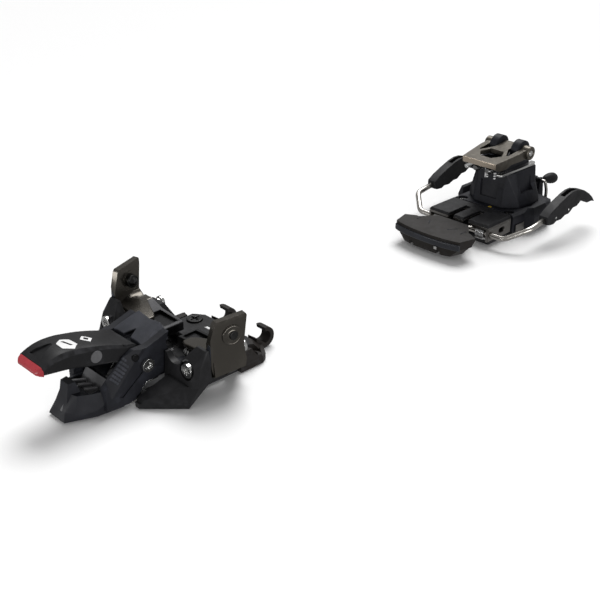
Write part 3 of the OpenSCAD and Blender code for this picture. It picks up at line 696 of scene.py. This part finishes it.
def hump():
    """Slate bridge with two peaks and a dark notch in the middle of its front."""
    front_y, rear_y = -33, -18.3
    front = [(0, 27.3), (0, 31), (9, 31), (12.6, 30), (14.4, 27.3)]
    rear = [(0, 29), (0, 35.4), (9.1, 36.8), (13, 34), (15.4, 29)]
    grow = 0.3

    def half():
        ends = [(x, front_y - grow, z) for x, z in front] + [(x, rear_y + grow, z) for x, z in rear]
        return hull([(x + (grow if x else 0), y, z + grow) for x, y, z in ends])

    shell = add(half(), mirrored_away(half()))
    room = box((-9, -45, 20), (9, -27.9, 27.1))
    cut(shell, hump_notch(), room)
    piece(shell, "lever_hump", "opening_lever", "slate_polymer", 0.5, angle=20)


def wing_foot():
    """Sheet that runs from the right wing's plate inwards over its arm."""
    thickness, rim_z, rim_y = 2.2, 0.4, 0.6
    rows = [
        # x, front y, rear y, z
        (44.0, -11.3, 7.0, 29.4), (41.5, -11.4, 6.9, 27.6), (38.5, -11.4, 6.2, 26.9),
        (34.0, -11.2, 4.8, 26.6), (29.0, -11.0, 2.6, 26.3), (24.0, -11.0, 0.4, 25.9),
        (20.0, -11.0, -1.2, 25.5), (16.4, -9.4, -3.6, 25.1),
    ]
    return loft([
        [
            (x, front, z - thickness), (x, rear, z - thickness), (x, rear, z - rim_z),
            (x, rear - rim_y, z), (x, front + rim_y, z), (x, front, z - rim_z),
        ]
        for x, front, rear, z in spline(rows, 3)
    ])


def wing_rings():
    """Raised rings around the boot pin on the outer face of the right wing."""
    tilt = math.radians(13)
    face = Vector((math.cos(tilt), -math.sin(tilt), 0))
    centre = Vector((45.2, 0, 37.3)) + face * 1.7
    return join(
        lathe([(5.7, 0), (5.7, 0.55), (5.2, 0.8), (4.6, 0.8), (4.3, 0.3), (4.3, 0)], centre, face),
        lathe([(3.5, 0), (3.5, 0.5), (3.1, 0.8), (0.9, 0.8), (0.6, 0.4), (0.6, 0)], centre, face),
    )


def wing_strip():
    """Dark strip down the front edge of the right wing."""
    outline = [(40.9, 32.0), (41.1, 26.9), (42.0, 20.4), (43.7, 21.4), (43.9, 33.6), (42.4, 34.6)]
    return prism("y", outline, -12.8, -11.9)


def wing_details(side, name):
    """The foot, rings and strip of one wing; side is 1 for the right wing and -1 for the left."""
    foot, rings, strip = wing_foot(), wing_rings(), wing_strip()
    if side < 0:
        foot, rings, strip = mirrored_away(foot), mirrored_away(rings), mirrored_away(strip)
    body = "wing_" + name
    piece(foot, "wing_foot_" + name, body, "titanium_gloss", 0.3)
    piece(rings, "wing_rings_" + name, body, "titanium_gloss", 0)
    piece(strip, "wing_strip_" + name, body, "gloss_polymer", 0.25)


def cover_marks():
    """Plain marks printed on the cover: a triangle and three slanted strokes."""
    low, high = 10.98, 11.06
    outlines = [[(x, 24.2), (x + 4.2, 24.2), (x + 4.8, 26.0), (x + 0.6, 26.0)] for x in (-7.4, -1.3, 4.8)]
    outlines.append([(4.2, 28.4), (7.2, 28.4), (5.6, 31.0)])
    marks = [prism("z", outline, low, high) for outline in outlines]
    piece(join(*marks), "cover_marks", "chassis", "white_print", 0)


def brake_wires():
    """Bent spring wires of the brake."""
    _, axle_y, axle_z = PIVOT["brake"]
    wire_r, bend = 2.0, 3.6
    points = [
        (6.5, 228.5, axle_z), (6.5, axle_y, axle_z), (37.2, axle_y, axle_z), (50, 268.2, 16.5), (50, 300, 21),
    ]
    for side, name in SIDES:
        wire = tube(smooth_path(points, bend, steps=8), wire_r, sides=24)
        if side < 0:
            wire = mirrored_away(wire)
        piece(wire, "wire_" + name, "brake", "wire_steel", 0, ["brake_wire_" + name])


def closing_springs():
    """Round-wire springs of the wings, each on its pin between two washers."""
    y, z = -8.7, 18.6
    for side, name in SIDES:
        spring = join(
            coil((18.4, y, z), ACROSS, radius=2.6, wire=0.6, length=8.4, turns=4),
            rod((26.6, y, z), ACROSS, 3.2, 1.6),
            rod((18.4, y, z), ACROSS, 1.6, 9.8, edge=0.2),
            rod((17.8, y, z), ACROSS, 2.4, 0.8, edge=0.2),
        )
        if side < 0:
            spring = mirrored_away(spring)
        piece(spring, "closing_spring_" + name, "wing_" + name, "spring_steel", 0, ["toe_spring_" + name])


def brake_coils():
    """Coils of the brake springs and their bent legs."""
    _, axle_y, axle_z = PIVOT["brake"]
    leg_r, bend, foot_z = 0.6, 1.0, 5.6
    turns = coil((14.5, axle_y, axle_z), ACROSS, radius=3.35, wire=0.45, length=8, turns=6)
    points = [(22.3, axle_y, 5.7), (22.3, 253.2, foot_z), (15.6, 252.9, foot_z)]
    leg = tube(smooth_path(points, bend), leg_r, sides=12)
    piece(both(join(turns, leg)), "brake_coils", "chassis", "spring_steel", 0, ["brake_springs"])


def bulb_lever():
    """The lever behind the heel: a stem with a bulb on a ring around the bail."""
    pivot = Vector(PIVOT["rear_lever"])
    lean = math.radians(101)
    axis = Vector((0, math.sin(lean), math.cos(lean)))
    stem_r, stem = 1.1, 9
    hub_r, hub_bore, hub_w = 2.0, 1.25, 2.4
    outline = [
        (0.3, 8.6), (1.6, 8.9), (2.5, 10.6), (3.3, 13.2), (4.0, 16.4),
        (4.25, 19.4), (4.1, 21.8), (3.3, 23.9), (1.9, 25.0), (0.3, 25.3),
    ]
    bulb = lathe(spline(outline, 3), pivot, axis, steps=40)
    hub = rod(pivot - Vector((hub_w / 2, 0, 0)), ACROSS, hub_r, hub_w, edge=0.2, steps=32)
    cut(hub, cylinder(pivot - Vector((3, 0, 0)), ACROSS, hub_bore, 6, steps=24))
    parts = join(lathe([(stem_r, 0), (stem_r, stem)], pivot, axis, steps=24), bulb, hub)
    piece(parts, "bulb_lever", "rear_lever", "black_polymer", 0, ["rear_lever"])


def bail():
    """Wire bail that carries the bulb lever and goes down into the carriage."""
    _, y, z = PIVOT["rear_lever"]
    wire_r, bend, leg_x, leg_y = 1.2, 1.6, 14.6, 343
    path = smooth_path([(4.7, y, z), (leg_x, y, z), (leg_x, leg_y, 16.4), (leg_x, leg_y, 5.8)], bend)
    piece(tube(path, wire_r, sides=18), "bail", "carriage", "wire_steel", 0, ["rear_bail"])


def front_bar():
    """Brushed face on the front bar of the climbing aid."""
    half_w, slope = 14.2, 6
    section = ((-36.9, 3.0), (-36.9, -1.0), (-36.4, 3.15), (-36.4, -1.1))
    plate = hull([(x, y, z) for x in (-half_w, half_w) for y, z in section])
    moved(turned(plate, slope, ACROSS), PIVOT["climbing_aid"])
    piece(plate, "aid_front_face", "climbing_aid", "champagne_steel", 0.2)


def tower_ticks():
    """Plain setting marks under the front of the climbing aid."""
    front_y, rear_y = 288.0, 290.4
    ticks, first_z, pitch, height = 4, 36.2, 1.9, 0.7
    marks = []
    for i in range(ticks):
        z = first_z + pitch * i
        for low_x, high_x in ((-3.9, -2.6), (2.6, 3.9)):
            marks.append(box((low_x, front_y, z), (high_x, rear_y, z + height)))
    marks.append(box((-5.0, front_y, 35.8), (-4.2, rear_y, 43)))
    piece(join(*marks), "setting_marks", "tower", "white_print", 0)


def pedal_details():
    """Glossy band along the front of the brake pedal, its silver tongue and flat strips beside the neck that are
    painted shade for its creases.
    """
    edge = [(28.2, 217.4), (24, 215.7), (16, 214.3), (8, 213.8), (0, 213.6)]
    line = edge + [(-x, y) for x, y in reversed(edge[:-1])]
    section = [(1.2, 8.9), (-0.1, 8.9), (-0.45, 9.5), (-0.45, 12.7), (-0.1, 13.3), (1.2, 13.3)]
    band = loft([[(x, y + inwards, z) for inwards, z in section] for x, y in line])
    piece(band, "pedal_band", "brake", "gloss_polymer", 0.15)
    tongue = box((9.8, 213.1, 6.6), (12.2, 217.5, 8.6))
    piece(tongue, "pedal_tongue", "brake", "bright_steel", 0.2)
    low, high = 15.38, 15.5
    # painted shade: flat blue-black strips where the creases beside the neck would fall into shade
    crease_shade = both(join(
        prism("z", [(8.4, 229.4), (12.6, 236.2), (12.1, 236.5), (7.9, 229.7)], low, high),
        prism("z", [(19.6, 230.0), (19.9, 236.4), (19.3, 236.4), (19.0, 230.0)], low, high),
    ))
    piece(crease_shade, "pedal_crease_shade", "brake", "blue_black_polymer", 0)


def tower_bands():
    """Slightly raised bands down the front corners of the tower."""
    outline = [
        (13.0, 289.3, 41.8), (15.9, 297.0, 41.8), (17.6, 297.2, 30.4),
        (22.3, 295.4, 19.2), (12.2, 286.7, 19.2), (11.6, 288.0, 30.4),
    ]
    depth, proud = 1.5, 0.25
    centre = Vector((6, 305, 30))
    inner = [Vector(p) + (centre - Vector(p)).normalized() * depth for p in outline]
    outer = [Vector(p) - (centre - Vector(p)).normalized() * proud for p in outline]
    piece(both(hull(inner + outer)), "tower_corner_bands", "tower", "blue_black_polymer", 0.3)


def aid_details():
    """Pivot caps on the sides of the climbing aid."""
    side_x = 18.3
    _, y, z = PIVOT["climbing_aid"]
    cap = lathe([(4.9, 0), (4.9, 0.5), (4.4, 0.8), (3.0, 0.8), (2.7, 0.5), (2.7, 0)], (side_x, y, z), ACROSS)
    piece(both(cap), "aid_pivot_caps", "climbing_aid", "titanium_grey", 0)


def bracket_details():
    """Bright cross bars inside the open front of the brake bracket, and its slotted end plates."""
    _, axle_y, axle_z = PIVOT["brake"]
    bar = both(tube([(15.6, 254.2, 5.9), (24.5, 254.2, 5.9)], 0.8, sides=16))
    piece(bar, "bracket_bar", "chassis", "bright_steel", 0)
    inner_x, outer_x = 25.9, 26.45
    corners = ((253.2, 4.4), (280.2, 4.4), (280.2, 13.2), (253.2, 13.2))
    cheek = hull([(x, y, z) for x in (inner_x, outer_x) for y, z in corners])
    slot_y, slot_z, slot_r, slot_run = 267.6, 9.2, 2.0, 3.4
    slot = hull([
        (x, slot_y + shift + y, slot_z + z)
        for x in (24, 28) for shift in (0, slot_run) for y, z in ring(slot_r, 32)
    ])
    axle_hole = cylinder((24, axle_y, axle_z), ACROSS, 2.6, 4)
    cut(cheek, slot, axle_hole)
    piece(both(cheek), "bracket_cheeks", "chassis", "bracket_steel", 0.2)


def carriage_details():
    """Grey steel patches low on the sides of the carriage."""
    patch = prism("y", [(28.0, 3.2), (28.7, 3.2), (28.5, 8.6), (28.0, 8.6)], 284.4, 294.6)
    piece(both(patch), "side_patches", "carriage", "bracket_steel", 0.15)


# ---------------------------------------------------------------- stage
def camera():
    """The viewing angle of the product picture."""
    azimuth, elevation = math.radians(45.65), math.radians(27.28)
    place = Vector((384.66, -281.76, 283.54)) * MM
    right = Vector((math.cos(azimuth), math.sin(azimuth), 0))
    level_back = Vector((math.sin(azimuth), -math.cos(azimuth), 0))
    back = level_back * math.cos(elevation) + Vector((0, 0, math.sin(elevation)))
    up = back.cross(right)
    cam = bpy.data.objects.new("camera", bpy.data.cameras.new("camera"))
    bpy.context.scene.collection.objects.link(cam)
    turn = Matrix((right, up, back)).transposed().to_4x4()
    cam.matrix_world = Matrix.Translation(place) @ turn
    cam.data.sensor_width = 36
    cam.data.lens = 58.6
    cam.data.clip_start = 0.02
    bpy.context.scene.camera = cam


def floor():
    """A plain pale floor under the binding, in metres."""
    reach, gap = 20, 0.0004
    corners = [(-reach, -reach, 0), (reach, -reach, 0), (reach, reach, 0), (-reach, reach, 0)]
    plane = mesh_object("floor", corners, [(0, 1, 2, 3)])
    plane.location.z = -gap
    plane.data.materials.append(shader("floor", grey(0.93), 0.0, 0.55, 0.3)[0])
    plane.visible_glossy = False
    plane.visible_diffuse = False


def lamp(name, place, target, power):
    """A wide low panel light; places are in metres."""
    data = bpy.data.lights.new(name, "AREA")
    data.shape = "RECTANGLE"
    data.size, data.size_y = 0.8, 0.16
    data.energy = power
    obj = bpy.data.objects.new(name, data)
    bpy.context.scene.collection.objects.link(obj)
    place = Vector(place)
    obj.location = place
    obj.rotation_euler = (Vector(target) - place).to_track_quat("-Z", "Y").to_euler()


def sun(name, towards, strength, angle):
    """A wide soft light; towards points from the binding to the light."""
    data = bpy.data.lights.new(name, "SUN")
    data.energy = strength
    data.angle = math.radians(angle)
    obj = bpy.data.objects.new(name, data)
    bpy.context.scene.collection.objects.link(obj)
    obj.rotation_euler = Vector(towards).to_track_quat("Z", "Y").to_euler()


def lights():
    """Soft studio light: a wide key from behind, two low panels and a dim even surround."""
    bpy.context.scene.view_settings.view_transform = "Standard"
    world = bpy.data.worlds.new("world")
    bpy.context.scene.world = world
    world.use_nodes = True
    background = world.node_tree.nodes["Background"]
    background.inputs["Color"].default_value = (1, 1, 1, 1)
    background.inputs["Strength"].default_value = 0.34
    sun("key", (-0.26, 0.44, 0.83), strength=2.75, angle=40)
    lamp("soft_left", (-0.25, -0.8, 0.09), (0, 0.1, 0.03), power=3.2)
    lamp("soft_right", (0.8, 0.0, 0.09), (0, 0.15, 0.03), power=3.2)


# ---------------------------------------------------------------- all
# CAD nodes that finer pieces stand for
REPLACED = {
    "lock_lever", "opening_lever", "brake_wire_left", "brake_wire_right",
    "toe_spring_left", "toe_spring_right", "brake_springs", "rear_lever", "rear_bail",
}
# nodes with a glossier finish than their slot in the record
FINER = {"wing_left": "titanium_gloss", "wing_right": "titanium_gloss"}
EDGE_WIDTH = {
    "wing_left": 0.7, "wing_right": 0.7, "climbing_aid": 0.5,
    "heel_tower": 0.6, "heel_carriage": 0.6, "brake_pedal": 0.5,
}
PLAIN_EDGE = 0.3


def build():
    for part in frame["record"]["subparts"]:
        node = part["node"]
        if node not in REPLACED:
            keep(node, FINER.get(node, part["material_slot"]), EDGE_WIDTH.get(node, PLAIN_EDGE))
    lock_lever()
    opening_lever()
    hump()
    for side, name in SIDES:
        wing_details(side, name)
    cover_marks()
    brake_wires()
    closing_springs()
    brake_coils()
    bulb_lever()
    bail()
    front_bar()
    tower_ticks()
    pedal_details()
    tower_bands()
    aid_details()
    bracket_details()
    carriage_details()
    lever_prints()


build()
camera()
floor()
lights()
